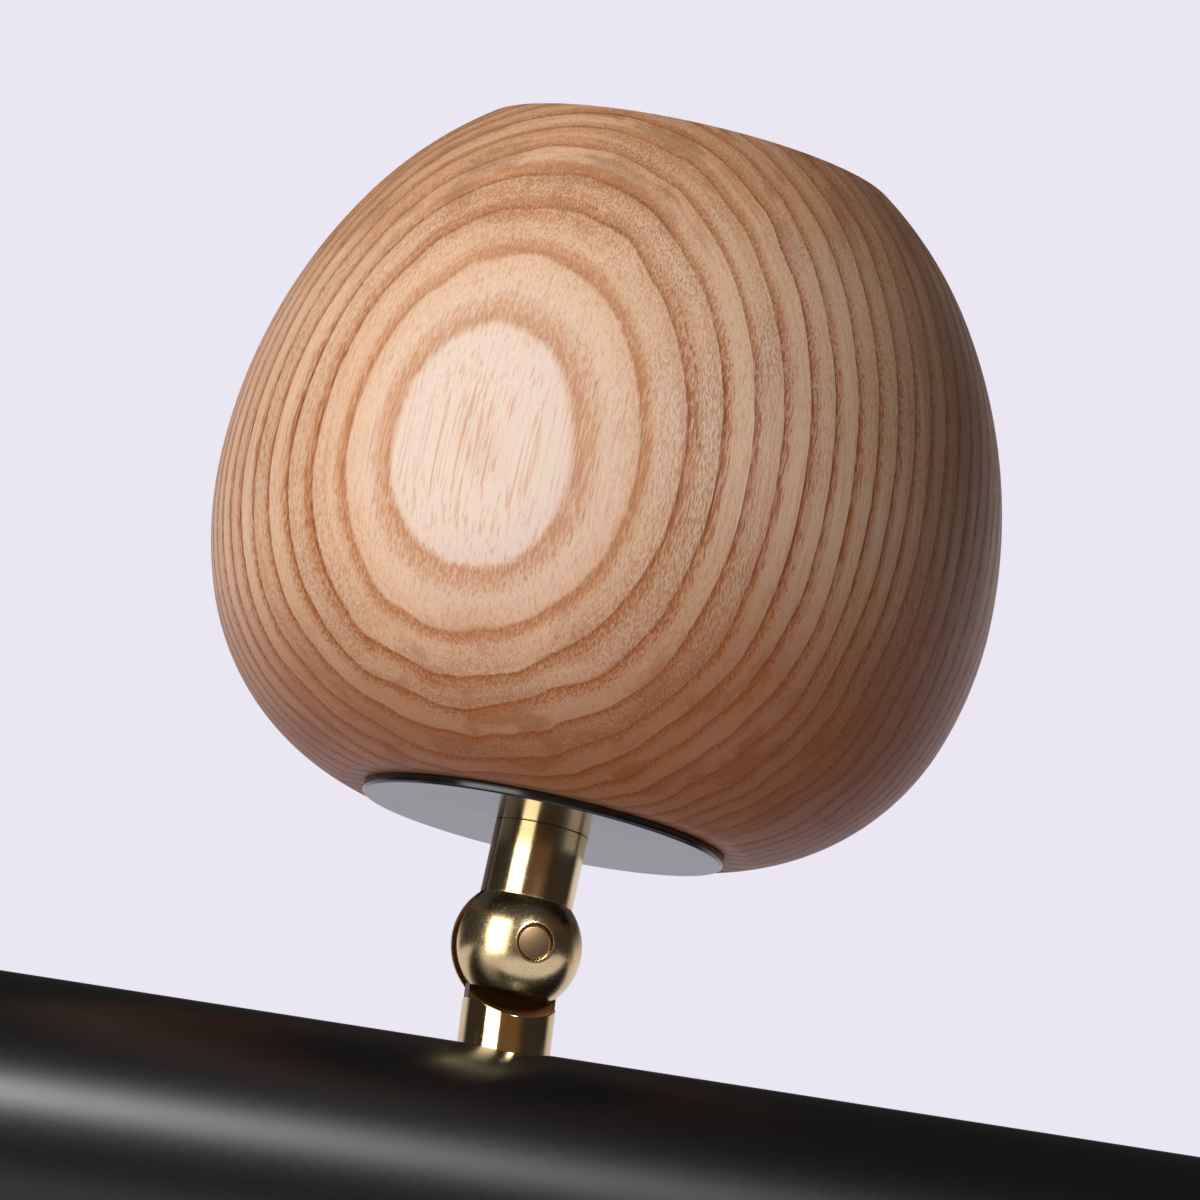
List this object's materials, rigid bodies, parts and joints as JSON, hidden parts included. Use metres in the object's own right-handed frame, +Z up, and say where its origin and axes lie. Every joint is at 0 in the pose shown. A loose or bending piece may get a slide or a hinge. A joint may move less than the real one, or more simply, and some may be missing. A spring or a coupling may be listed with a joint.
{
  "type": "chandelier light",
  "caption": "Turned ash-wood shade, open at the top, on a brass ball swivel that tilts and turns on a black round bar with tapped hanger bosses.",
  "frame": {"origin": "midway between the two hanger holes, on the top faces of the hanger bosses", "axes": "+X along the bar, +Z up out of the hanger holes, -Y is the side the picture was taken from"},
  "size_m": [0.366, 0.118, 0.1897],
  "materials": {
    "black_coat": "black powder coat, satin, fine orange peel",
    "black_disc": "black lacquer, semi-gloss",
    "brass": "turned, satin polished, unlacquered",
    "zinc_steel": "zinc plated",
    "ash_wood": "turned ash, satin oil",
    "ceramic": "unglazed ceramic",
    "frosted_glass": "frosted",
    "block_plastic": "moulded",
    "lead_insulation": "smooth insulation"
  },
  "bodies": {
    "bar": {"bar_tube": "black_coat", "end_cap_left": "black_coat", "end_cap_right": "black_coat", "hanger_left": "brass", "hanger_right": "brass", "hanger_saddles": "zinc_steel", "hanger_nuts": "zinc_steel", "stem_saddle": "zinc_steel", "stop_pin": "zinc_steel", "terminal_block": "block_plastic", "terminal_screws": "brass", "bar_leads": "lead_insulation"},
    "stem": {"swivel_base": "brass", "stem_tab_washer": "zinc_steel", "stem_spring_washer": "zinc_steel", "stem_nut": "zinc_steel", "stem_leads": "lead_insulation"},
    "head": {"swivel_ball": "brass", "pivot_pin": "brass", "friction_washers": "zinc_steel", "head_nipple": "zinc_steel", "shade_plate": "black_disc", "wood_shade": "ash_wood", "floor_washer": "zinc_steel", "lamp_bracket": "zinc_steel", "nipple_nut": "zinc_steel", "lampholder": "ceramic", "lampholder_screws": "zinc_steel", "lamp_contacts": "brass", "bulb_base": "ceramic", "bulb_pins": "zinc_steel", "bulb_core": "ceramic", "bulb_dome": "frosted_glass", "head_leads": "lead_insulation"}
  },
  "joints": [
    {"name": "stem_turn", "type": "hinge", "parent": "bar", "child": "stem", "pos_m": [0, 0, 0.0035], "axis": [0, 0, 1], "range_deg": [-160, 160]},
    {"name": "head_tilt", "type": "hinge", "parent": "stem", "child": "head", "pos_m": [0, 0, 0.0035], "axis": [0, 1, 0], "range_deg": [-50.5, 39.5]}
  ]
}
